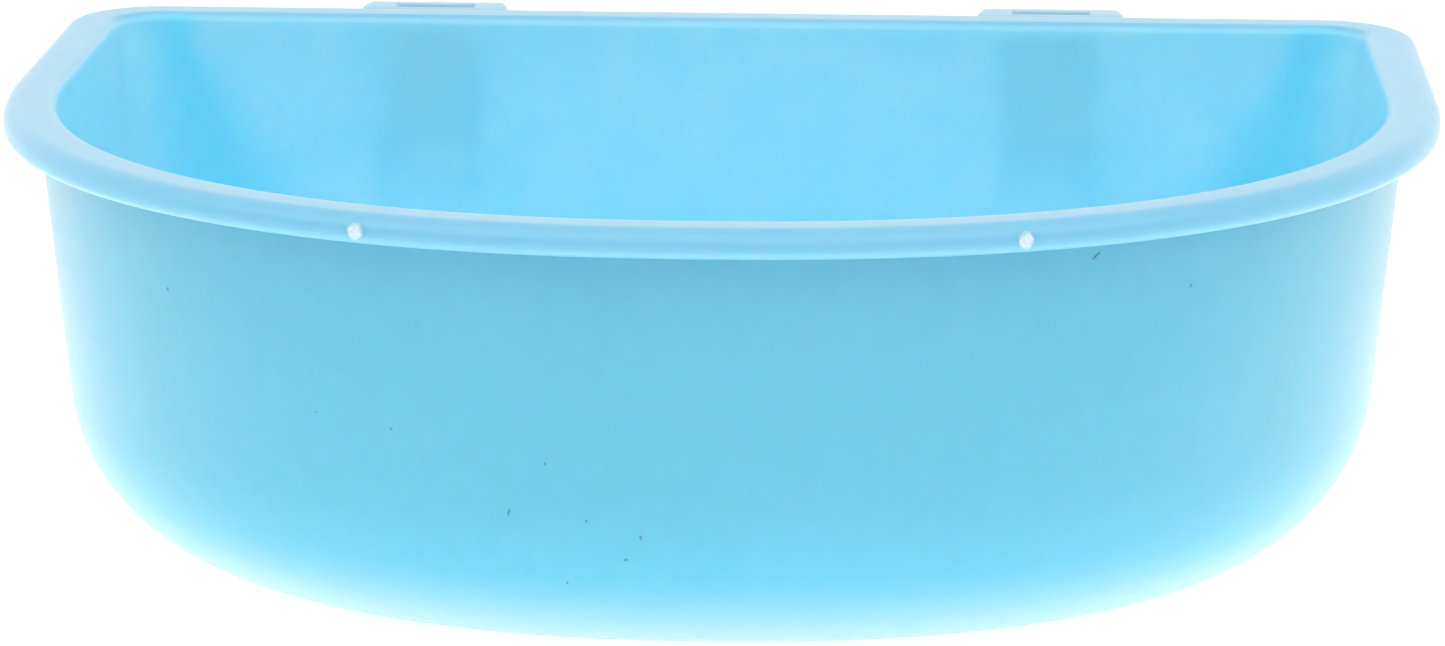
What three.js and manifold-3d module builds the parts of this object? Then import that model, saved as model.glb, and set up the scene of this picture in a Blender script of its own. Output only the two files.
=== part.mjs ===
// A half-round bowl that hangs on the wire of a small-animal or poultry cage, with its two hanger clips.
// Millimetres, +Z up. The origin is the middle of the flat underside; the flat back faces +Y.
import * as THREE from "three";
import { mergeVertices } from "three/addons/utils/BufferGeometryUtils.js";
import Module from "manifold-3d";

// Plan of the rim's outer edge: a flat back, straight sides and a full, rounded front.
const WIDTH = 185;
const BACK_WIDTH = 181.4; // across the back, if its corners were sharp
const SIDE_LENGTH = 54.5; // from the back to where the front curve starts
const FRONT_REACH = 90.2; // from there to the front of the rim
const FRONT_FULLNESS = 2.21; // 2 would be an ellipse
const BACK_CORNER_R = 12.7;
const BACK_Y = (SIDE_LENGTH + FRONT_REACH) / 2;
const SIDE_END_Y = BACK_Y - SIDE_LENGTH;

// Section of the bowl.
const HEIGHT = 57.8;
const WALL = 2.5;
const WALL_LEAN = Math.atan(0.103); // from upright, narrower towards the bottom
const BOTTOM_R = 23; // outside, between wall and underside
const WALL_CORNER_R = 20; // of the back corners, where the bottom rounding starts
const BASE_CORNER_R = 27; // of the underside's back corners
const RIM_OVERHANG = 4.25; // from the wall's outer face to the rim's outer edge
const RIM_THICKNESS = 2.2;
const LIP_HEIGHT = 3.7; // the rim's turned-down edge, from the rim's top
const LIP_THICKNESS = 1.8;
const LIP_TOP_R = 2.4;
const LIP_FOOT_R = 1.1;
const RIM_INNER_R = 1.4;

// Sockets for the hanger clips, behind the back wall, each with a tab around its mouth.
const SOCKET_X = 41.9;
const SLOT_WIDTH = 10.4;
const SLOT_FRONT_Y = BACK_Y - 0.5;
const SLOT_BACK_Y = BACK_Y + 2.6;
const SOCKET_BACK_Y = BACK_Y + 3.7;
const SOCKET_SIDE_WALL = 1.7;
const SOCKET_FRONT_WALL = 1.5;
const SOCKET_FOOT_Z = 36;
const GUSSET_FOOT_Z = 30; // where the socket's side walls run out into the bowl
const SOCKET_CHAMFER = 0.5;
const TAB_WIDTH = 19.8;
const TAB_TAPER = 0.9; // narrower on each side at its free edge
const TAB_CORNER_R = 1;

// Moulding gate stubs on the front of the rim.
const GATE_X = 40.1;
const GATE_R = 1.1;
const GATE_STANDS_OUT = 0.25;

// Hanger clip: a steel strip with a tongue, a lower bend, an upright and a crook.
const STRIP = 1.5;
const CLIP_WIDTH = 9.8;
const CLEARANCE = 0.3;
const TONGUE_BACK_Y = BACK_Y + 1.75;
const TONGUE_TOP_Z = HEIGHT - 3.5;
const UPRIGHT_FRONT_Y = SOCKET_BACK_Y + CLEARANCE + 0.1;
const CROOK_GAP = 5; // takes a cage wire
const CROOK_TOP_Z = HEIGHT - 2.5;
const CROOK_DROP = 12; // of its free leg, below the middle of the crook
const FLARE_ANGLE = THREE.MathUtils.degToRad(25);
const FLARE_LENGTH = 4;

// Facets.
const FRONT_STEPS = 28;
const CORNER_STEPS = 8;
const BOTTOM_STEPS = 7;
const EDGE_STEPS = 4;
const BEND_STEPS = 10;

const wasm = await Module();
wasm.setup();

function solid(geometry) {
  const bare = geometry.clone();
  bare.deleteAttribute("normal");
  bare.deleteAttribute("uv");
  const merged = mergeVertices(bare, 1e-4);
  return new wasm.Manifold(
    new wasm.Mesh({
      numProp: 3,
      vertProperties: merged.attributes.position.array,
      triVerts: new Uint32Array(merged.index.array),
    }),
  );
}

function geometryOf(manifold) {
  const { vertProperties, triVerts } = manifold.getMesh();
  const geometry = new THREE.BufferGeometry();
  geometry.setAttribute("position", new THREE.BufferAttribute(vertProperties, 3));
  geometry.setIndex(new THREE.BufferAttribute(triVerts, 1));
  geometry.computeVertexNormals();
  return geometry;
}

// The plan outline at an inset from the rim's outer edge, anticlockwise from the middle of the front.
function planOutline(inset, cornerRadius) {
  const halfWidth = WIDTH / 2 - inset;
  const reach = FRONT_REACH - inset;
  const sharp = new THREE.Vector2(BACK_WIDTH / 2 - inset, BACK_Y - inset);
  const right = [];
  for (let i = 1; i <= FRONT_STEPS; i++) {
    const turn = (Math.PI / 2) * (1 - i / FRONT_STEPS);
    const across = Math.abs(Math.cos(turn)) ** (2 / FRONT_FULLNESS);
    const forward = Math.abs(Math.sin(turn)) ** (2 / FRONT_FULLNESS);
    right.push(new THREE.Vector2(halfWidth * across, SIDE_END_Y - reach * forward));
  }
  const side = new THREE.Vector2(halfWidth, SIDE_END_Y).sub(sharp).normalize();
  const outward = new THREE.Vector2(-side.y, side.x);
  const centreX = sharp.x - (cornerRadius * (1 - outward.y)) / outward.x;
  const first = outward.angle();
  for (let i = 0; i <= CORNER_STEPS; i++) {
    const turn = first + (Math.PI / 2 - first) * (i / CORNER_STEPS);
    const x = centreX + cornerRadius * Math.cos(turn);
    const y = sharp.y - cornerRadius + cornerRadius * Math.sin(turn);
    right.push(new THREE.Vector2(x, y));
  }
  const left = right.map((p) => new THREE.Vector2(-p.x, p.y)).reverse();
  return [new THREE.Vector2(0, SIDE_END_Y - reach), ...right, ...left];
}

// One level of the bowl's surface.
function level(inset, z, cornerRadius) {
  return { inset, z, cornerRadius };
}

// A rounded edge of the rim, from one angle to another about its centre.
function rimEdge(centreInset, centreZ, radius, fromDegrees, toDegrees) {
  const levels = [];
  for (let i = 0; i <= EDGE_STEPS; i++) {
    const turn = THREE.MathUtils.degToRad(fromDegrees + ((toDegrees - fromDegrees) * i) / EDGE_STEPS);
    const inset = centreInset + radius * Math.cos(turn);
    levels.push(level(inset, centreZ + radius * Math.sin(turn), BACK_CORNER_R - inset));
  }
  return levels;
}

function wallInset(z) {
  return RIM_OVERHANG + Math.tan(WALL_LEAN) * (HEIGHT - z);
}

// The face of wall and bottom at a depth below the outer face, from the underside up to topZ.
function wallFace(depth, topZ) {
  const tangentZ = BOTTOM_R * (1 - Math.sin(WALL_LEAN));
  const centreInset = wallInset(tangentZ) + BOTTOM_R * Math.cos(WALL_LEAN);
  const levels = [];
  for (let i = 0; i <= BOTTOM_STEPS; i++) {
    const share = i / BOTTOM_STEPS; // from the underside, 0, to the wall, 1
    const turn = Math.PI * 1.5 - (Math.PI / 2 - WALL_LEAN) * share;
    const inset = centreInset + (BOTTOM_R - depth) * Math.cos(turn);
    const z = BOTTOM_R + (BOTTOM_R - depth) * Math.sin(turn);
    const outerCornerR = THREE.MathUtils.lerp(BASE_CORNER_R, WALL_CORNER_R, share);
    levels.push(level(inset, z, outerCornerR + depth * Math.cos(turn)));
  }
  const topInset = wallInset(topZ) + depth / Math.cos(WALL_LEAN);
  levels.push(level(topInset, topZ, BACK_CORNER_R - topInset));
  return levels;
}

// The bowl's section, from the underside up the outside, over the rim and down the inside.
function bowlLevels() {
  const lipFootZ = HEIGHT - LIP_HEIGHT;
  const rimUnderZ = HEIGHT - RIM_THICKNESS;
  const innerTopZ = HEIGHT - RIM_INNER_R;
  const innerInset = wallInset(innerTopZ) + WALL / Math.cos(WALL_LEAN);
  const lipInner = [rimUnderZ, lipFootZ].map((z) => level(LIP_THICKNESS, z, BACK_CORNER_R - LIP_THICKNESS));
  return [
    ...wallFace(0, rimUnderZ),
    ...lipInner,
    ...rimEdge(LIP_FOOT_R, lipFootZ + LIP_FOOT_R, LIP_FOOT_R, 270, 180),
    ...rimEdge(LIP_TOP_R, HEIGHT - LIP_TOP_R, LIP_TOP_R, 180, 90),
    ...rimEdge(innerInset - RIM_INNER_R, innerTopZ, RIM_INNER_R, 90, 0),
    ...wallFace(WALL, innerTopZ - 1).reverse(),
  ];
}

// A closed skin through the levels, with a flat cap on the first and the last.
function loft(levels) {
  const positions = [];
  const index = [];
  const count = planOutline(0, BACK_CORNER_R).length;
  for (const { inset, z, cornerRadius } of levels) {
    for (const p of planOutline(inset, cornerRadius)) positions.push(p.x, p.y, z);
  }
  for (let row = 0; row + 1 < levels.length; row++) {
    for (let i = 0; i < count; i++) {
      const a = row * count + i;
      const b = row * count + ((i + 1) % count);
      index.push(a, b, b + count, a, b + count, a + count);
    }
  }
  const last = (levels.length - 1) * count;
  const under = positions.length / 3;
  positions.push(0, 0, levels[0].z);
  positions.push(0, 0, levels[levels.length - 1].z);
  for (let i = 0; i < count; i++) {
    const next = (i + 1) % count;
    index.push(under, next, i);
    index.push(under + 1, last + i, last + next);
  }
  const geometry = new THREE.BufferGeometry();
  geometry.setAttribute("position", new THREE.Float32BufferAttribute(positions, 3));
  geometry.setIndex(index);
  return geometry;
}

// A side view (Y to the right, Z up) given its width along X, centred on centreX.
function acrossX(shape, width, centreX) {
  const geometry = new THREE.ExtrudeGeometry(shape, {
    depth: width,
    bevelEnabled: false,
    curveSegments: BEND_STEPS,
  });
  const turn = new THREE.Matrix4().makeBasis(
    new THREE.Vector3(0, 1, 0),
    new THREE.Vector3(0, 0, 1),
    new THREE.Vector3(1, 0, 0),
  );
  return geometry.applyMatrix4(turn).translate(centreX - width / 2, 0, 0);
}

function polygon(points) {
  return new THREE.Shape(points.map(([u, v]) => new THREE.Vector2(u, v)));
}

function box(minX, maxX, minY, maxY, minZ, maxZ) {
  const geometry = new THREE.BoxGeometry(maxX - minX, maxY - minY, maxZ - minZ);
  return geometry.translate((minX + maxX) / 2, (minY + maxY) / 2, (minZ + maxZ) / 2);
}

// The flat tab around a socket's mouth, flush with the rim's top.
function tab(x) {
  const root = TAB_WIDTH / 2;
  const free = root - TAB_TAPER;
  const shape = new THREE.Shape();
  shape.moveTo(-root, BACK_Y - LIP_TOP_R);
  shape.lineTo(root, BACK_Y - LIP_TOP_R);
  shape.lineTo(root, BACK_Y);
  shape.lineTo(free + TAB_CORNER_R / 2, SOCKET_BACK_Y - TAB_CORNER_R);
  shape.quadraticCurveTo(free, SOCKET_BACK_Y, free - TAB_CORNER_R, SOCKET_BACK_Y);
  shape.lineTo(TAB_CORNER_R - free, SOCKET_BACK_Y);
  shape.quadraticCurveTo(-free, SOCKET_BACK_Y, -free - TAB_CORNER_R / 2, SOCKET_BACK_Y - TAB_CORNER_R);
  shape.lineTo(-root, BACK_Y);
  const geometry = new THREE.ExtrudeGeometry(shape, {
    depth: RIM_THICKNESS,
    bevelEnabled: false,
    curveSegments: EDGE_STEPS,
  });
  return geometry.translate(x, 0, HEIGHT - RIM_THICKNESS);
}

// The socket's walls: a front and a back wall joined to the bowl by two side walls.
function socket(x) {
  const midWallY = (z) => BACK_Y - wallInset(z) - WALL / 2;
  const topZ = HEIGHT - RIM_THICKNESS / 2;
  const frontY = SLOT_FRONT_Y - SOCKET_FRONT_WALL;
  const outside = polygon([
    [SOCKET_BACK_Y, topZ],
    [midWallY(topZ), topZ],
    [midWallY(GUSSET_FOOT_Z), GUSSET_FOOT_Z],
    [frontY, SOCKET_FOOT_Z],
    [SOCKET_BACK_Y - SOCKET_CHAMFER, SOCKET_FOOT_Z],
    [SOCKET_BACK_Y, SOCKET_FOOT_Z + SOCKET_CHAMFER],
  ]);
  const cell = polygon([
    [frontY, HEIGHT - RIM_THICKNESS],
    [midWallY(HEIGHT - RIM_THICKNESS), HEIGHT - RIM_THICKNESS],
    [midWallY(0), 0],
    [frontY, 0],
  ]);
  const body = solid(acrossX(outside, SLOT_WIDTH + 2 * SOCKET_SIDE_WALL, x));
  return body.subtract(solid(acrossX(cell, SLOT_WIDTH, x)));
}

function slot(x) {
  const half = SLOT_WIDTH / 2;
  return box(x - half, x + half, SLOT_FRONT_Y, SLOT_BACK_Y, 0, HEIGHT + 1);
}

// A short stub standing out square from the rim's front, where the gate was broken off.
function gateStub(x) {
  const share = Math.abs(x) / (WIDTH / 2);
  const forward = FRONT_REACH * (1 - share ** FRONT_FULLNESS) ** (1 / FRONT_FULLNESS);
  const outward = new THREE.Vector3(
    (Math.sign(x) * share ** (FRONT_FULLNESS - 1)) / (WIDTH / 2),
    -((forward / FRONT_REACH) ** (FRONT_FULLNESS - 1)) / FRONT_REACH,
    0,
  ).normalize();
  const geometry = new THREE.CylinderGeometry(GATE_R, GATE_R, 2 * GATE_R, 12);
  const upright = new THREE.Vector3(0, 1, 0);
  geometry.applyQuaternion(new THREE.Quaternion().setFromUnitVectors(upright, outward));
  const middle = outward.clone().multiplyScalar(GATE_STANDS_OUT - GATE_R);
  const z = HEIGHT - (LIP_TOP_R + LIP_HEIGHT - LIP_FOOT_R) / 2;
  return geometry.translate(x + middle.x, SIDE_END_Y - forward + middle.y, z);
}

function bowl() {
  let body = solid(loft(bowlLevels()));
  for (const x of [-SOCKET_X, SOCKET_X]) {
    body = body.add(solid(tab(x))).add(socket(x)).subtract(solid(slot(x)));
  }
  for (const x of [-GATE_X, GATE_X]) body = body.add(solid(gateStub(x)));
  return geometryOf(body);
}

// The strip's side view: up the socket's inside, under its back wall, up behind it and over the wire.
function clipOutline() {
  const tongueFrontY = TONGUE_BACK_Y - STRIP;
  const lowerR = (UPRIGHT_FRONT_Y - TONGUE_BACK_Y) / 2;
  const lowerY = TONGUE_BACK_Y + lowerR;
  const lowerZ = SOCKET_FOOT_Z - CLEARANCE + lowerR;
  const uprightBackY = UPRIGHT_FRONT_Y + STRIP;
  const crookR = CROOK_GAP / 2;
  const crookY = uprightBackY + crookR;
  const crookZ = CROOK_TOP_Z - STRIP - crookR;
  const freeY = crookY + crookR;
  const bendZ = crookZ - CROOK_DROP;
  const tipY = freeY + FLARE_LENGTH * Math.sin(FLARE_ANGLE);
  const tipZ = bendZ - FLARE_LENGTH * Math.cos(FLARE_ANGLE);
  const shape = new THREE.Shape();
  shape.moveTo(tongueFrontY, TONGUE_TOP_Z);
  shape.lineTo(tongueFrontY, lowerZ);
  shape.absarc(lowerY, lowerZ, lowerR + STRIP, Math.PI, 2 * Math.PI, false);
  shape.lineTo(uprightBackY, crookZ);
  shape.absarc(crookY, crookZ, crookR, Math.PI, 0, true);
  shape.lineTo(freeY, bendZ);
  shape.lineTo(tipY, tipZ);
  shape.lineTo(tipY + STRIP * Math.cos(FLARE_ANGLE), tipZ + STRIP * Math.sin(FLARE_ANGLE));
  shape.lineTo(freeY + STRIP, bendZ + STRIP * Math.tan(FLARE_ANGLE / 2));
  shape.lineTo(freeY + STRIP, crookZ);
  shape.absarc(crookY, crookZ, crookR + STRIP, 0, Math.PI, false);
  shape.lineTo(UPRIGHT_FRONT_Y, lowerZ);
  shape.absarc(lowerY, lowerZ, lowerR, 2 * Math.PI, Math.PI, true);
  shape.lineTo(TONGUE_BACK_Y, TONGUE_TOP_Z);
  return shape;
}

const plastic = new THREE.MeshStandardMaterial({ color: 0x86d0ee, roughness: 0.38, metalness: 0 });
const zinc = new THREE.MeshStandardMaterial({ color: 0xb4b8ba, roughness: 0.35, metalness: 1 });

const part = new THREE.Group();

const bowlMesh = new THREE.Mesh(bowl(), plastic);
bowlMesh.name = "bowl";
part.add(bowlMesh);

for (const [name, x] of [["left_hanger_clip", -SOCKET_X], ["right_hanger_clip", SOCKET_X]]) {
  const clip = new THREE.Mesh(acrossX(clipOutline(), CLIP_WIDTH, 0), zinc);
  clip.name = name;
  clip.position.x = x;
  part.add(clip);
}

export default part;
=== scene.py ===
"""A light-blue half-round cage bowl with its two zinc-plated hanger clips, on a white sweep."""

import math

import bmesh
import bpy
import numpy as np
from mathutils import Matrix, Vector, noise


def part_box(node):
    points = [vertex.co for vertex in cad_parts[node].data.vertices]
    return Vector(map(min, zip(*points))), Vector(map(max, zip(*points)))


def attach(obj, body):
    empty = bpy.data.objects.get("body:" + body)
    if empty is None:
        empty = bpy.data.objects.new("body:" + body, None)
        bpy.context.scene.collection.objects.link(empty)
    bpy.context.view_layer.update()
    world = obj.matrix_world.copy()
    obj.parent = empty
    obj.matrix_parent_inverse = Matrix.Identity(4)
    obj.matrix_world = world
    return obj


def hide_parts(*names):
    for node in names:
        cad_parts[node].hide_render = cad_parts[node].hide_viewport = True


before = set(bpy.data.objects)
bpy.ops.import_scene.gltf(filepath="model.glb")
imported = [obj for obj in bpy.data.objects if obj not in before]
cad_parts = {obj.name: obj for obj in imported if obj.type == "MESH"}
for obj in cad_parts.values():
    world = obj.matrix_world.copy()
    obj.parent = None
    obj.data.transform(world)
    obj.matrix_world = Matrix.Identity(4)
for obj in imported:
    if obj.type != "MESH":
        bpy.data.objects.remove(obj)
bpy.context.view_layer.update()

MM = 0.001

# The bowl's plan and section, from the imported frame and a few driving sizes. The rim is centred on Y.
bowl_low, bowl_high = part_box("bowl")
HALF_WIDTH = bowl_high.x
HEIGHT = bowl_high.z
BACK_Y = -bowl_low.y
SIDE_LENGTH = 54.5 * MM
FRONT_REACH = 2 * BACK_Y - SIDE_LENGTH
FRONT_FULLNESS = 2.21
SIDE_END_Y = BACK_Y - SIDE_LENGTH
BACK_HALF_WIDTH = HALF_WIDTH - 1.8 * MM
BACK_CORNER_R = 12.7 * MM
WALL = 2.5 * MM
WALL_LEAN = math.atan(0.103)
BOTTOM_R = 23 * MM
WALL_CORNER_R = 20 * MM
BASE_CORNER_R = 27 * MM
RIM_OVERHANG = 4.25 * MM
RIM_THICKNESS = 2.2 * MM
LIP_HEIGHT = 3.7 * MM
LIP_THICKNESS = 1.8 * MM
LIP_TOP_R = 2.4 * MM
LIP_FOOT_R = 1.1 * MM
RIM_INNER_R = 1.4 * MM

# The sockets and tabs behind the rim.
SOCKET_BACK_Y = bowl_high.y
SLOT_WIDTH = 10.4 * MM
SLOT_FRONT_Y = BACK_Y - 0.5 * MM
SLOT_BACK_Y = SOCKET_BACK_Y - 1.1 * MM
SOCKET_SIDE_WALL = 1.7 * MM
SOCKET_FRONT_WALL = 1.5 * MM
SOCKET_FOOT_Z = 36 * MM
GUSSET_FOOT_Z = 30 * MM
TAB_WIDTH = 19.8 * MM
TAB_TAPER = 0.9 * MM
TAB_CORNER_R = 1.2 * MM
TAB_OVERHANG = 0.12 * MM
SLOT_LEAD_IN = 0.25 * MM
SMALL_EDGE = 0.3 * MM

# The gate stubs on the rim's front.
GATE_X = 40.1 * MM
GATE_R = 1.05 * MM
GATE_Z = HEIGHT - 2.1 * MM
GATE_RISE = 0.42 * MM

# The dark specks on the front: x, z and half length in millimetres, and lean in degrees.
SPECK_HALF_WIDTH = 0.16 * MM
SPECK_WOBBLE = 0.55 * MM
SPECKS = [
    (-17.5, 27.0, 0.22, 0),
    (-22.0, 20.5, 0.50, 10),
    (-12.5, 20.0, 0.20, 0),
    (-7.8, 15.0, 0.25, 60),
    (-6.0, 18.0, 0.35, -25),
    (-15.0, 11.5, 0.18, 0),
    (-65.5, 43.0, 0.22, 0),
    (-46.0, 31.0, 0.14, 0),
    (-36.5, 30.0, 0.14, 0),
    (48.5, 52.0, 0.60, 50),
    (60.0, 46.5, 0.16, 0),
]

# The hanger clips.
STRIP = 1.5 * MM
CROOK_GAP = 5 * MM
CROOK_LEG = 12 * MM
FLARE_ANGLE = math.radians(25)
FLARE_LENGTH = 4 * MM
CLIP_CLEARANCE = 0.4 * MM
TONGUE_TOP_DROP = 3.5 * MM
STRIP_EDGE = 0.22 * MM

# How finely the surface is made.
FRONT_STEPS = 110
CORNER_STEPS = 20
SIDE_STEPS = 26
BACK_STEPS = 84
BOTTOM_STEPS = 22
WALL_STEPS = 18
EDGE_STEPS = 10
TAB_CORNER_STEPS = 6
BEND_STEPS = 20
BEVEL_STEPS = 3
SMOOTH_BELOW = math.radians(38)

# The inner back corners, where the painted light inside gives way to a painted shade of deeper blue.
INNER_CORNER_X = 78 * MM
INNER_CORNER_TOP_Z = 54 * MM
INNER_CORNER_LOW_Z = 26 * MM
INNER_CORNER_TOP_SPREAD = 6 * MM
INNER_CORNER_LOW_SPREAD = 30 * MM

# The plastic's colours.
BODY_BLUE = (0.080, 0.500, 0.660)
CLOUDY_BLUE = (0.095, 0.515, 0.685)
MOTTLE_BLUE = (0.130, 0.555, 0.740)
# A paler blue on the lip and the rim's top: painted light, where the light falls on them.
RIM_PAINTED_LIGHT_BLUE = (0.175, 0.540, 0.745)
# Paler, whiter blues for the faces inside the bowl: painted light, for the light that falls into it, in
# patches.
PAINTED_INSIDE_LIGHT_BLUE = (0.300, 0.755, 0.965)
PALE_PAINTED_INSIDE_LIGHT_BLUE = (0.350, 0.780, 0.975)
# A deeper blue for the inner back corners: painted shade.
CORNER_PAINTED_SHADE_BLUE = (0.060, 0.710, 0.955)
# A paler, greyer blue low on the outside: a painted reflection of the white floor.
PAINTED_FLOOR_REFLECTION_BLUE = (0.480, 0.620, 0.680)
SPECK_BLUE = (0.02, 0.15, 0.20)
TORN_BLUE = (0.50, 0.72, 0.88)
TORN_WHITE = (0.80, 0.86, 0.92)

# The zinc's colours.
BRIGHT_ZINC = (0.66, 0.68, 0.70)
GREY_ZINC = (0.50, 0.52, 0.54)
DULL_ZINC = (0.40, 0.41, 0.42)

# The light from the room: in front and behind, from low down and from high up.
LOW_FRONT_LIGHT = 0.55
HIGH_FRONT_LIGHT = 1.60
LOW_BACK_LIGHT = 1.00
HIGH_BACK_LIGHT = 0.85

# The floor's half width, and its glow near the bowl and far from it.
FLOOR_HALF = 3.0
NEAR_GLOW = 0.65
FAR_GLOW = 0.15

# The camera.
CAMERA_AZIMUTH = math.radians(2.709)
CAMERA_ELEVATION = math.radians(12.659)
CAMERA_ROLL = math.radians(0.203)
CAMERA_DISTANCE = 1.1
CAMERA_TARGET = Vector((-2.59 * MM, BACK_Y, 14.12 * MM))
SENSOR_WIDTH_MM = 36
FOCAL_LENGTH_MM = 199.6


# ---------------------------------------------------------------- the bowl's skin

def plan_outline(inset, corner_r):
    """The bowl's outline at an inset from the rim's edge, anticlockwise from the middle of the front."""
    half_width = HALF_WIDTH - inset
    reach = FRONT_REACH - inset
    sharp = Vector((BACK_HALF_WIDTH - inset, BACK_Y - inset))
    side_end = Vector((half_width, SIDE_END_Y))
    right = []
    for i in range(1, FRONT_STEPS + 1):
        turn = math.pi / 2 * (1 - i / FRONT_STEPS)
        across = abs(math.cos(turn)) ** (2 / FRONT_FULLNESS)
        forward = abs(math.sin(turn)) ** (2 / FRONT_FULLNESS)
        right.append((half_width * across, SIDE_END_Y - reach * forward))
    side = (side_end - sharp).normalized()
    outward = Vector((-side.y, side.x))
    centre = Vector((sharp.x - corner_r * (1 - outward.y) / outward.x, sharp.y - corner_r))
    first = math.atan2(outward.y, outward.x)
    corner = []
    for i in range(CORNER_STEPS + 1):
        turn = first + (math.pi / 2 - first) * i / CORNER_STEPS
        corner.append(centre + corner_r * Vector((math.cos(turn), math.sin(turn))))
    for i in range(1, SIDE_STEPS):
        right.append(tuple(side_end.lerp(corner[0], i / SIDE_STEPS)))
    right += [tuple(p) for p in corner]
    edge_x = right[-1][0]
    back = [(edge_x * (1 - 2 * i / BACK_STEPS), sharp.y) for i in range(1, BACK_STEPS)]
    left = [(-x, y) for x, y in reversed(right)]
    return [(0.0, SIDE_END_Y - reach), *right, *back, *left]


def wall_inset(z):
    """How far the wall's outer face lies inside the rim's edge at a height."""
    return RIM_OVERHANG + math.tan(WALL_LEAN) * (HEIGHT - z)


def rim_edge(centre_inset, centre_z, radius, start, end):
    """Levels (inset, height, corner radius) round one edge of the rim, between two angles in degrees."""
    levels = []
    for i in range(EDGE_STEPS + 1):
        turn = math.radians(start + (end - start) * i / EDGE_STEPS)
        inset = centre_inset + radius * math.cos(turn)
        levels.append((inset, centre_z + radius * math.sin(turn), BACK_CORNER_R - inset))
    return levels


def wall_face(depth, top_z):
    """Levels of bottom rounding and wall at a depth below the outer face, from the underside up."""
    tangent_z = BOTTOM_R * (1 - math.sin(WALL_LEAN))
    centre_inset = wall_inset(tangent_z) + BOTTOM_R * math.cos(WALL_LEAN)
    levels = []
    for i in range(BOTTOM_STEPS + 1):
        share = i / BOTTOM_STEPS
        turn = math.pi * 1.5 - (math.pi / 2 - WALL_LEAN) * share
        inset = centre_inset + (BOTTOM_R - depth) * math.cos(turn)
        z = BOTTOM_R + (BOTTOM_R - depth) * math.sin(turn)
        outer_corner = BASE_CORNER_R + (WALL_CORNER_R - BASE_CORNER_R) * share
        levels.append((inset, z, outer_corner + depth * math.cos(turn)))
    top_inset = wall_inset(top_z) + depth / math.cos(WALL_LEAN)
    start = np.array(levels[-1])
    end = np.array((top_inset, top_z, BACK_CORNER_R - top_inset))
    for i in range(1, WALL_STEPS + 1):
        levels.append(tuple((start + (end - start) * i / WALL_STEPS).tolist()))
    return levels


def bowl_levels():
    """The levels of the whole skin: up the outside, over the lip and rim, and down the inside."""
    lip_foot_z = HEIGHT - LIP_HEIGHT
    rim_under_z = HEIGHT - RIM_THICKNESS
    inner_top_z = HEIGHT - RIM_INNER_R
    inner_inset = wall_inset(inner_top_z) + WALL / math.cos(WALL_LEAN)
    lip_corner = BACK_CORNER_R - LIP_THICKNESS
    return [
        *wall_face(0, rim_under_z),
        (LIP_THICKNESS, rim_under_z, lip_corner),
        (LIP_THICKNESS, lip_foot_z, lip_corner),
        *rim_edge(LIP_FOOT_R, lip_foot_z + LIP_FOOT_R, LIP_FOOT_R, 270, 180),
        *rim_edge(LIP_TOP_R, HEIGHT - LIP_TOP_R, LIP_TOP_R, 180, 90),
        *rim_edge(inner_inset - RIM_INNER_R, inner_top_z, RIM_INNER_R, 90, 0),
        *reversed(wall_face(WALL, inner_top_z - 0.5 * MM)),
    ]


def mesh_object(name, vertices, faces):
    """An object in the scene with these vertices and faces."""
    mesh = bpy.data.meshes.new(name)
    mesh.from_pydata([tuple(v) for v in vertices], [], faces)
    mesh.validate()
    made = bpy.data.objects.new(name, mesh)
    bpy.context.scene.collection.objects.link(made)
    return made


def loft(name, levels):
    """A closed skin through the levels, flat across the first and the last."""
    rows = [[(x, y, z) for x, y in plan_outline(inset, corner)] for inset, z, corner in levels]
    count = len(rows[0])
    faces = [tuple(reversed(range(count)))]
    for row in range(len(rows) - 1):
        for i in range(count):
            a, b = row * count + i, row * count + (i + 1) % count
            faces.append((a, b, b + count, a + count))
    last = (len(rows) - 1) * count
    faces.append(tuple(range(last, last + count)))
    return mesh_object(name, [p for row in rows for p in row], faces)


# ---------------------------------------------------------------- solids that are joined to it or cut from it

def prism(name, outline, depth, axis, start):
    """An outline of (u, v) points given a depth along Z (u, v are X, Y) or along X (u, v are Y, Z)."""
    def place(u, v, w):
        return (u, v, w) if axis == "Z" else (w, u, v)

    count = len(outline)
    vertices = [place(u, v, start) for u, v in outline]
    vertices += [place(u, v, start + depth) for u, v in outline]
    faces = [tuple(reversed(range(count))), tuple(range(count, 2 * count))]
    faces += [(i, (i + 1) % count, (i + 1) % count + count, i + count) for i in range(count)]
    return mesh_object(name, vertices, faces)


def soften(made, width, least_degrees=50):
    """Rounds a solid's edges that are sharper than an angle."""
    mesh = bmesh.new()
    mesh.from_mesh(made.data)
    bmesh.ops.recalc_face_normals(mesh, faces=mesh.faces)
    sharp = [e for e in mesh.edges if e.calc_face_angle(0) > math.radians(least_degrees)]
    bmesh.ops.bevel(mesh, geom=sharp, offset=width, segments=BEVEL_STEPS, affect="EDGES", profile=0.5)
    mesh.to_mesh(made.data)
    mesh.free()
    return made


def combine(target, tool, operation):
    """Joins a solid to the target or cuts it away, and drops the tool."""
    change = target.modifiers.new("combine", "BOOLEAN")
    change.operation = operation
    change.solver = "EXACT"
    change.object = tool
    evaluated = target.evaluated_get(bpy.context.evaluated_depsgraph_get())
    result = bpy.data.meshes.new_from_object(evaluated)
    target.modifiers.clear()
    target.data = result
    bpy.data.objects.remove(tool)


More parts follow.
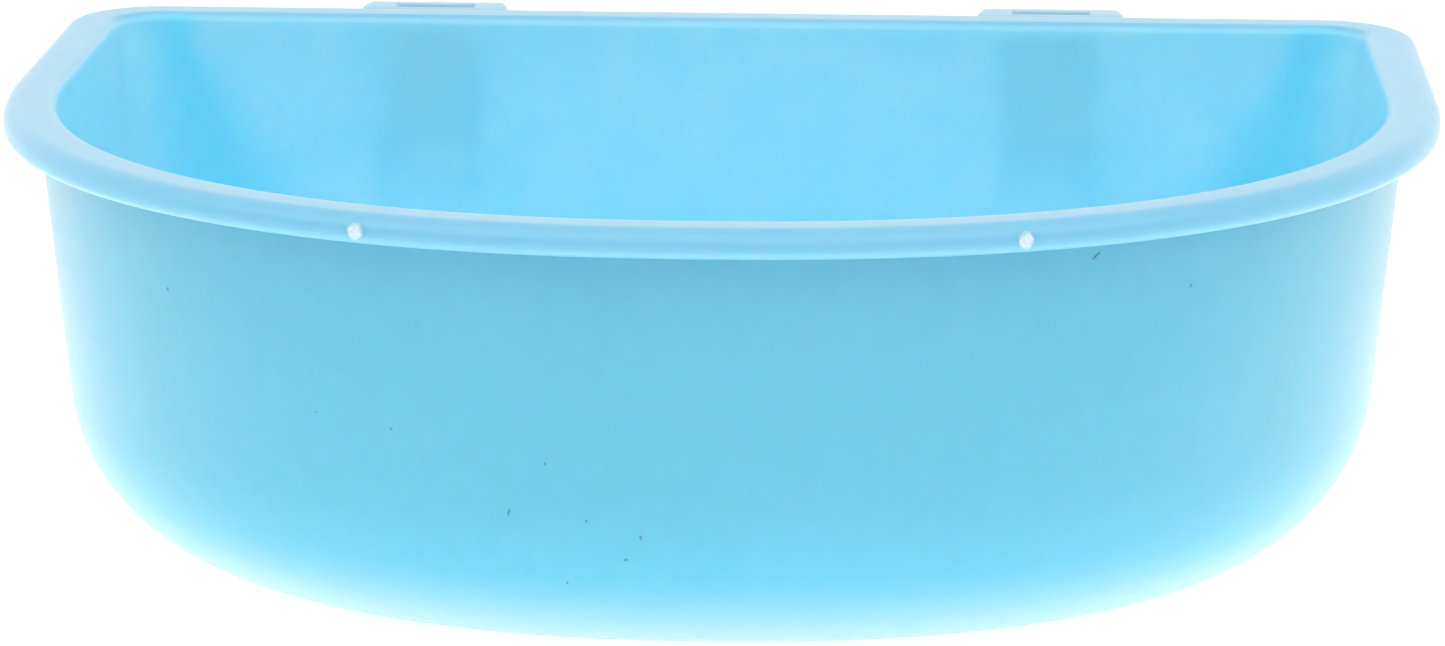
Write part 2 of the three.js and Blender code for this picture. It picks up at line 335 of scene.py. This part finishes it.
def tab(x):
    """The flat tab round a socket's mouth, flush with the rim's top."""
    root = TAB_WIDTH / 2
    free = root - TAB_TAPER
    right = [(root, BACK_Y - LIP_TOP_R), (root, BACK_Y)]
    centre_x = free - TAB_CORNER_R * 0.7
    centre_y = SOCKET_BACK_Y - TAB_CORNER_R
    for i in range(TAB_CORNER_STEPS + 1):
        turn = math.radians(25 + 65 * i / TAB_CORNER_STEPS)
        right.append((centre_x + TAB_CORNER_R * math.cos(turn), centre_y + TAB_CORNER_R * math.sin(turn)))
    outline = [(x + u, v) for u, v in right] + [(x - u, v) for u, v in reversed(right)]
    return soften(prism("tab", outline, RIM_THICKNESS, "Z", HEIGHT - RIM_THICKNESS), SMALL_EDGE)


def socket(x):
    """The socket's walls, joined to the bowl by two side walls that run out in gussets below."""
    def mid_wall_y(z):
        return BACK_Y - wall_inset(z) - WALL / 2

    top_z = HEIGHT - RIM_THICKNESS / 2
    under_z = HEIGHT - RIM_THICKNESS
    front_y = SLOT_FRONT_Y - SOCKET_FRONT_WALL
    back_y = SOCKET_BACK_Y - TAB_OVERHANG
    outside = [
        (back_y, top_z),
        (mid_wall_y(top_z), top_z),
        (mid_wall_y(GUSSET_FOOT_Z), GUSSET_FOOT_Z),
        (front_y, SOCKET_FOOT_Z),
        (back_y, SOCKET_FOOT_Z),
    ]
    width = SLOT_WIDTH + 2 * SOCKET_SIDE_WALL
    body = soften(prism("socket", outside, width, "X", x - width / 2), SMALL_EDGE, least_degrees=70)
    cell = [(front_y, under_z), (mid_wall_y(under_z), under_z), (mid_wall_y(0), 0), (front_y, 0)]
    combine(body, prism("cell", cell, SLOT_WIDTH, "X", x - SLOT_WIDTH / 2), "DIFFERENCE")
    return body


def slot_cutter(x):
    """The slot, with a small lead-in at its mouth."""
    middle_y = (SLOT_FRONT_Y + SLOT_BACK_Y) / 2
    half_x = SLOT_WIDTH / 2
    half_y = (SLOT_BACK_Y - SLOT_FRONT_Y) / 2
    corners = ((-1, -1), (1, -1), (1, 1), (-1, 1))
    levels = [(0, 0), (HEIGHT - SLOT_LEAD_IN, 0), (HEIGHT + SLOT_LEAD_IN, 2 * SLOT_LEAD_IN)]
    rows = []
    for z, more in levels:
        rows += [(x + sx * (half_x + more), middle_y + sy * (half_y + more), z) for sx, sy in corners]
    faces = [(3, 2, 1, 0), (8, 9, 10, 11)]
    for base in (0, 4):
        faces += [(base + i, base + (i + 1) % 4, base + 4 + (i + 1) % 4, base + 4 + i) for i in range(4)]
    return mesh_object("slot", rows, faces)


def rim_front(x):
    """The point of the rim's outer edge at x, at the gate's height, and the outward direction there."""
    share = abs(x) / HALF_WIDTH
    forward = FRONT_REACH * (1 - share**FRONT_FULLNESS) ** (1 / FRONT_FULLNESS)
    slope = FRONT_FULLNESS - 1
    outward = Vector((math.copysign(share**slope, x) / HALF_WIDTH,
                      -((forward / FRONT_REACH) ** slope) / FRONT_REACH, 0)).normalized()
    return Vector((x, SIDE_END_Y - forward, GATE_Z)), outward


def gate_stub(x, seed):
    """A low, ragged stub, where the gate was torn off."""
    place, outward = rim_front(x)
    mesh = bmesh.new()
    bmesh.ops.create_icosphere(mesh, subdivisions=4, radius=1)
    turn = Vector((0, 0, 1)).rotation_difference(outward).to_matrix()
    for v in mesh.verts:
        ragged = 1 + 0.30 * noise.noise(v.co * 2.2 + Vector((seed, 0, 0)))
        top = 0.22 * noise.noise(v.co * 4 + Vector((0, seed, 0)))
        flat = Vector((v.co.x * GATE_R * ragged, v.co.y * GATE_R * ragged, 0))
        flat.z = (max(-1, min(0.55, v.co.z)) + top) * GATE_RISE
        v.co = place + turn @ flat
    data = bpy.data.meshes.new("gate_stub")
    mesh.to_mesh(data)
    mesh.free()
    made = bpy.data.objects.new("gate_stub", data)
    bpy.context.scene.collection.objects.link(made)
    return made


def finish_mesh(made, material):
    """Gives a piece its material and smooth faces, with its sharp edges kept."""
    made.data.materials.clear()
    made.data.materials.append(material)
    made.data.polygons.foreach_set("use_smooth", [True] * len(made.data.polygons))
    made.data.set_sharp_from_angle(angle=SMOOTH_BELOW)
    made.data.update()


def build_bowl(material):
    """The whole moulding: skin, tabs, sockets, slots and gate stubs."""
    bowl = loft("bowl_moulding", bowl_levels())
    clip_low, clip_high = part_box("right_hanger_clip")
    socket_x = (clip_low.x + clip_high.x) / 2
    for x in (-socket_x, socket_x):
        combine(bowl, tab(x), "UNION")
        combine(bowl, socket(x), "UNION")
        combine(bowl, slot_cutter(x), "DIFFERENCE")
    for x, seed in ((-GATE_X, 3.1), (GATE_X, 8.7)):
        combine(bowl, gate_stub(x, seed), "UNION")
    finish_mesh(bowl, material)
    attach(bowl, "bowl")
    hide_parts("bowl")


# ---------------------------------------------------------------- the hanger clips

def arc(centre_y, centre_z, radius, start, end):
    """Points (Y, Z) round a bend, between two angles in degrees."""
    points = []
    for i in range(BEND_STEPS + 1):
        turn = math.radians(start + (end - start) * i / BEND_STEPS)
        points.append((centre_y + radius * math.cos(turn), centre_z + radius * math.sin(turn)))
    return points


def clip_outline(low, high):
    """The strip's side view (Y, Z), within the CAD clip's box."""
    lower_out = low.z
    tongue_front = low.y
    upright_front = SOCKET_BACK_Y + CLIP_CLEARANCE
    lower_r = (upright_front - tongue_front - STRIP) / 2
    lower_y = tongue_front + STRIP + lower_r
    lower_z = lower_out + STRIP + lower_r
    crook_r = CROOK_GAP / 2
    crook_y = upright_front + STRIP + crook_r
    crook_z = high.z - STRIP - crook_r
    free_y = crook_y + crook_r
    bend_z = crook_z - CROOK_LEG
    tip_y = free_y + FLARE_LENGTH * math.sin(FLARE_ANGLE)
    tip_z = bend_z - FLARE_LENGTH * math.cos(FLARE_ANGLE)
    tongue_top = HEIGHT - TONGUE_TOP_DROP
    return [
        (tongue_front, tongue_top),
        *arc(lower_y, lower_z, lower_r + STRIP, 180, 360),
        *arc(crook_y, crook_z, crook_r, 180, 0),
        (free_y, bend_z),
        (tip_y, tip_z),
        (tip_y + STRIP * math.cos(FLARE_ANGLE), tip_z + STRIP * math.sin(FLARE_ANGLE)),
        (free_y + STRIP, bend_z + STRIP * math.tan(FLARE_ANGLE / 2)),
        *arc(crook_y, crook_z, crook_r + STRIP, 0, 180),
        *arc(lower_y, lower_z, lower_r, 360, 180),
        (tongue_front + STRIP, tongue_top),
    ]


def build_clip(side, material):
    """One bent strip, with its edges broken."""
    node = f"{side}_hanger_clip"
    low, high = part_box(node)
    clip = prism(f"{side}_clip_strip", clip_outline(low, high), high.x - low.x, "X", low.x)
    soften(clip, STRIP_EDGE, least_degrees=60)
    finish_mesh(clip, material)
    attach(clip, f"{side}_clip")
    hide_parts(node)


# ---------------------------------------------------------------- materials

class Graph:
    """The node tree of a material or a world, with short calls to add and join nodes."""

    def __init__(self, owner, shader="Principled BSDF", coordinates="Object"):
        owner.use_nodes = True
        self.tree = owner.node_tree
        self.shader = self.tree.nodes[shader]
        self.place = self.add("ShaderNodeTexCoord").outputs[coordinates]

    def add(self, kind, inputs=None, **settings):
        """Adds a node, with links for the inputs that are sockets and values for the others."""
        node = self.tree.nodes.new(kind)
        for name, value in settings.items():
            setattr(node, name, value)
        for name, value in (inputs or {}).items():
            if isinstance(value, bpy.types.NodeSocket):
                self.tree.links.new(value, node.inputs[name])
            else:
                node.inputs[name].default_value = value
        return node

    def noise(self, scale, detail=3.0, roughness=0.55, place=None):
        inputs = {"Vector": place or self.place, "Scale": scale, "Detail": detail, "Roughness": roughness}
        return self.add("ShaderNodeTexNoise", inputs).outputs["Fac"]

    def split(self, vector):
        return self.add("ShaderNodeSeparateXYZ", {"Vector": vector}).outputs

    def vector(self, operation, *values, output="Vector"):
        return self.add("ShaderNodeVectorMath", dict(enumerate(values)), operation=operation).outputs[output]

    def remap(self, value, low, high, to_low=0.0, to_high=1.0, kind="LINEAR"):
        inputs = {"Value": value, "From Min": low, "From Max": high, "To Min": to_low, "To Max": to_high}
        return self.add("ShaderNodeMapRange", inputs, interpolation_type=kind).outputs["Result"]

    def math(self, operation, *values):
        return self.add("ShaderNodeMath", dict(enumerate(values)), operation=operation).outputs["Value"]

    def blend(self, factor, a, b):
        """Mixes two colours, each a socket or three numbers."""
        made = self.add("ShaderNodeMix", {"Factor": factor}, data_type="RGBA")
        for name, value in (("A", a), ("B", b)):
            socket = [s for s in made.inputs if s.name == name and s.type == "RGBA"][0]
            if isinstance(value, bpy.types.NodeSocket):
                self.tree.links.new(value, socket)
            else:
                socket.default_value = (*value, 1)
        return [s for s in made.outputs if s.type == "RGBA"][0]

    def stretched(self, scale):
        """The coordinates, scaled by a different amount on each axis."""
        return self.add("ShaderNodeMapping", {"Vector": self.place, "Scale": scale}).outputs["Vector"]

    def bump(self, height, distance, normal=None):
        inputs = {"Height": height, "Distance": distance, "Strength": 1.0}
        if normal:
            inputs["Normal"] = normal
        return self.add("ShaderNodeBump", inputs).outputs["Normal"]

    def set(self, **sockets):
        """Sets or links the shader's inputs, with _ for a space in a name."""
        for name, value in sockets.items():
            name = name.replace("_", " ")
            if isinstance(value, bpy.types.NodeSocket):
                self.tree.links.new(value, self.shader.inputs[name])
            else:
                self.shader.inputs[name].default_value = value


def gate_whitening(g):
    """1 on the two torn gate stubs, 0 elsewhere, with a ragged edge."""
    split = g.split(g.place)
    across = g.math("ABSOLUTE", split["X"])
    mirrored = g.add("ShaderNodeCombineXYZ", {"X": across, "Y": split["Y"], "Z": split["Z"]})
    gate_place, _ = rim_front(GATE_X)
    away = g.vector("DISTANCE", mirrored.outputs["Vector"], tuple(gate_place), output="Value")
    ragged = g.math("MULTIPLY_ADD", g.noise(1600, 2), 0.7 * MM, -0.35 * MM)
    away = g.math("ADD", away, ragged)
    return g.remap(away, GATE_R * 1.05, GATE_R * 0.75)


def inside_face(g):
    """1 on the faces that look into the bowl, 0 on the rim and outside."""
    facing = g.add("ShaderNodeTexCoord").outputs["Normal"]
    inward = g.vector("NORMALIZE", g.vector("MULTIPLY", g.place, (-1, -1, 0)))
    towards = g.vector("DOT_PRODUCT", facing, inward, output="Value")
    walls = g.remap(towards, 0.15, 0.6, kind="SMOOTHSTEP")
    low_down = g.remap(g.split(g.place)["Z"], 30 * MM, 20 * MM)
    floor = g.math("MULTIPLY", g.remap(g.split(facing)["Z"], 0.3, 0.7), low_down)
    return g.math("MAXIMUM", walls, floor)


def corner_painted_shade(g):
    """Where the painted shade falls: 1 along the back wall's two inside corners, spreading towards the floor,
    and 0 elsewhere.
    """
    split = g.split(g.place)
    across = g.math("ABSOLUTE", split["X"])
    spread = g.remap(split["Z"], INNER_CORNER_TOP_Z, INNER_CORNER_LOW_Z,
                     INNER_CORNER_TOP_SPREAD, INNER_CORNER_LOW_SPREAD)
    start = g.math("SUBTRACT", INNER_CORNER_X, spread)
    share = g.math("DIVIDE", g.math("SUBTRACT", across, start), spread)
    facing = g.add("ShaderNodeTexCoord").outputs["Normal"]
    back_wall = g.remap(g.split(facing)["Y"], -0.25, -0.85, kind="SMOOTHSTEP")
    behind = g.math("GREATER_THAN", split["Y"], 0.0)
    outer_end = g.remap(across, INNER_CORNER_X + 7 * MM, INNER_CORNER_X - 4 * MM, kind="SMOOTHSTEP")
    wedge = g.math("MULTIPLY", g.remap(share, 0.0, 0.8, kind="SMOOTHSTEP"), back_wall)
    wedge = g.math("MULTIPLY", wedge, outer_end)
    return g.math("MULTIPLY", wedge, behind)


def specks(g):
    """A few dark specks of dust and short scratches, mostly low on the front."""
    wobble = g.add("ShaderNodeTexNoise", {"Vector": g.place, "Scale": 1400.0, "Detail": 2.0}).outputs["Color"]
    centred = g.vector("ADD", wobble, (-0.5, -0.5, -0.5))
    shift = g.add("ShaderNodeVectorMath", {0: centred, "Scale": SPECK_WOBBLE}, operation="SCALE")
    place = g.vector("ADD", g.place, shift.outputs["Vector"])
    total = None
    for x, z, long, lean in SPECKS:
        inputs = {"Vector": place, "Location": (x * MM, 0, z * MM), "Rotation": (0, math.radians(lean), 0),
                  "Scale": (SPECK_HALF_WIDTH, 1.0, long * MM)}
        local = g.add("ShaderNodeMapping", inputs, vector_type="TEXTURE").outputs["Vector"]
        away = g.vector("LENGTH", g.vector("MULTIPLY", local, (1, 0, 1)), output="Value")
        spot = g.remap(away, 1.2, 0.8)
        total = spot if total is None else g.math("MAXIMUM", total, spot)
    return g.math("MULTIPLY", total, g.math("LESS_THAN", g.split(g.place)["Y"], 0.0))


def bowl_plastic():
    """Light-blue polypropylene: satin, milky and translucent, faintly mottled, with white torn gates, painted
    light on the rim and inside, a painted reflection low on the outside and painted shade in the inner back
    corners.
    """
    material = bpy.data.materials.new("bowl_plastic")
    g = Graph(material)
    mottle = g.remap(g.noise(320, 4, 0.6), 0.35, 0.65)
    cloud = g.remap(g.noise(22, 2), 0.3, 0.7)
    colour = g.blend(cloud, BODY_BLUE, CLOUDY_BLUE)
    colour = g.blend(g.math("MULTIPLY", mottle, 0.25), colour, MOTTLE_BLUE)
    height = g.split(g.place)["Z"]
    lip_foot_z = HEIGHT - LIP_HEIGHT
    # The lip and the rim's top are painted paler: painted light.
    rim = g.remap(height, lip_foot_z - 0.3 * MM, lip_foot_z + 0.3 * MM)
    colour = g.blend(rim, colour, RIM_PAINTED_LIGHT_BLUE)
    inside = inside_face(g)
    # The faces inside the bowl are painted a paler, whiter blue, in patches, from just under the rim down:
    # painted light.
    painted_inside_light_patches = g.remap(g.noise(150, 5, 0.7), 0.42, 0.70)
    painted_inside_light = g.blend(painted_inside_light_patches, PAINTED_INSIDE_LIGHT_BLUE, PALE_PAINTED_INSIDE_LIGHT_BLUE)
    below_rim = g.remap(height, HEIGHT - 0.3 * MM, HEIGHT - 1.0 * MM)
    colour = g.blend(g.math("MULTIPLY", inside, below_rim), colour, painted_inside_light)
    # The inner back corners are painted a deeper blue: painted shade.
    colour = g.blend(g.math("MULTIPLY", corner_painted_shade(g), 0.6), colour, CORNER_PAINTED_SHADE_BLUE)
    # The outside is painted paler and greyer towards the bottom: a painted reflection of the white floor.
    painted_floor_reflection = g.remap(height, 13 * MM, 1 * MM, 0.0, 0.6, "SMOOTHSTEP")
    painted_floor_reflection = g.math("MULTIPLY", painted_floor_reflection, g.math("SUBTRACT", 1.0, inside))
    colour = g.blend(painted_floor_reflection, colour, PAINTED_FLOOR_REFLECTION_BLUE)
    dust = g.math("MULTIPLY", specks(g), g.math("SUBTRACT", 0.75, inside))
    colour = g.blend(dust, colour, SPECK_BLUE)
    white = gate_whitening(g)
    torn_colour = g.blend(g.remap(g.noise(1900, 3), 0.35, 0.65), TORN_BLUE, TORN_WHITE)
    colour = g.blend(g.math("MULTIPLY", white, 0.85), colour, torn_colour)
    scuffs = g.remap(g.noise(9.0, 6, 0.7, g.stretched((14, 14, 60))), 0.56, 0.72)
    rough = g.remap(mottle, 0, 1, 0.30, 0.37)
    rough = g.math("ADD", rough, g.math("MULTIPLY", scuffs, 0.10))
    rough = g.math("ADD", rough, g.math("MULTIPLY", white, 0.35))
    peel = g.bump(g.noise(900, 3), 0.012 * MM)
    waves = g.bump(g.noise(45, 2), 0.12 * MM, normal=peel)
    torn = g.bump(g.math("MULTIPLY", g.noise(2600, 3), white), 0.25 * MM, normal=waves)
    g.set(Base_Color=colour, Roughness=rough, Normal=torn, IOR=1.49, Subsurface_Weight=1.0,
          Subsurface_Radius=(1.0, 0.5, 0.4), Subsurface_Scale=7 * MM, Coat_Weight=0.75,
          Coat_Roughness=0.28, Sheen_Weight=0.06, Sheen_Roughness=0.4)
    return material


def zinc_plated_steel():
    """Dull zinc over rolled strip: soft spangle, fine rolling lines and a few duller patches."""
    material = bpy.data.materials.new("zinc_plated_steel")
    g = Graph(material)
    spangle = g.remap(g.noise(420, 5, 0.65), 0.3, 0.7)
    lines = g.noise(40, 3, 0.6, g.stretched((60, 1, 1)))
    dull = g.remap(g.noise(160, 4), 0.5, 0.75)
    colour = g.blend(spangle, GREY_ZINC, BRIGHT_ZINC)
    colour = g.blend(g.math("MULTIPLY", dull, 0.5), colour, DULL_ZINC)
    rough = g.remap(spangle, 0, 1, 0.28, 0.42)
    rough = g.math("ADD", rough, g.math("MULTIPLY", dull, 0.18))
    rolled = g.bump(lines, 0.02 * MM)
    grain = g.bump(g.noise(1500, 2), 0.008 * MM, normal=rolled)
    g.set(Base_Color=colour, Roughness=rough, Normal=grain, Metallic=1.0)
    return material


# ---------------------------------------------------------------- stage, light and camera

def white_sweep():
    """A pale floor that glows a little round the bowl, as on a light table."""
    material = bpy.data.materials.new("white_sweep")
    g = Graph(material)
    tint = g.blend(g.noise(3, 2), (0.90, 0.90, 0.90), (0.93, 0.93, 0.93))
    away = g.vector("LENGTH", g.place, output="Value")
    glow = g.remap(away, 0.09, 0.22, NEAR_GLOW, FAR_GLOW)
    g.set(Base_Color=tint, Roughness=0.9, Emission_Color=(1, 1, 1, 1), Emission_Strength=glow)
    corners = [(FLOOR_HALF * sx, FLOOR_HALF * sy, 0) for sx, sy in ((-1, -1), (1, -1), (1, 1), (-1, 1))]
    floor = mesh_object("floor", corners, [(0, 1, 2, 3)])
    floor.data.materials.append(material)


def white_room():
    """Soft light from all round: brightest from high up in front, and dimmest from low in front."""
    world = bpy.data.worlds.new("white_room")
    g = Graph(world, "Background", "Generated")
    direction = g.split(g.place)
    front = g.remap(direction["Z"], 0.40, 0.65, LOW_FRONT_LIGHT, HIGH_FRONT_LIGHT, "SMOOTHSTEP")
    back = g.remap(direction["Z"], 0.40, 0.65, LOW_BACK_LIGHT, HIGH_BACK_LIGHT, "SMOOTHSTEP")
    level = g.remap(direction["Y"], -0.2, 0.2, front, back, "SMOOTHSTEP")
    g.set(Color=(1, 1, 1, 1), Strength=level)
    bpy.context.scene.world = world


def camera():
    """A long lens from the front, a little above the rim and a little to the right."""
    level = Vector((math.cos(CAMERA_AZIMUTH), math.sin(CAMERA_AZIMUTH), 0))
    towards_us = Vector((level.y, -level.x, 0))
    back = towards_us * math.cos(CAMERA_ELEVATION) + Vector((0, 0, math.sin(CAMERA_ELEVATION)))
    upward = back.cross(level)
    right = level * math.cos(CAMERA_ROLL) + upward * math.sin(CAMERA_ROLL)
    up = upward * math.cos(CAMERA_ROLL) - level * math.sin(CAMERA_ROLL)
    data = bpy.data.cameras.new("camera")
    data.sensor_width = SENSOR_WIDTH_MM
    data.lens = FOCAL_LENGTH_MM
    data.clip_end = 50
    made = bpy.data.objects.new("camera", data)
    axes = Matrix((right, up, back)).transposed().to_4x4()
    made.matrix_world = Matrix.Translation(CAMERA_TARGET + back * CAMERA_DISTANCE) @ axes
    bpy.context.scene.collection.objects.link(made)
    bpy.context.scene.camera = made


camera()
white_sweep()
white_room()
build_bowl(bowl_plastic())
steel = zinc_plated_steel()
for side in ("left", "right"):
    build_clip(side, steel)
bpy.context.scene.view_settings.view_transform = "Standard"
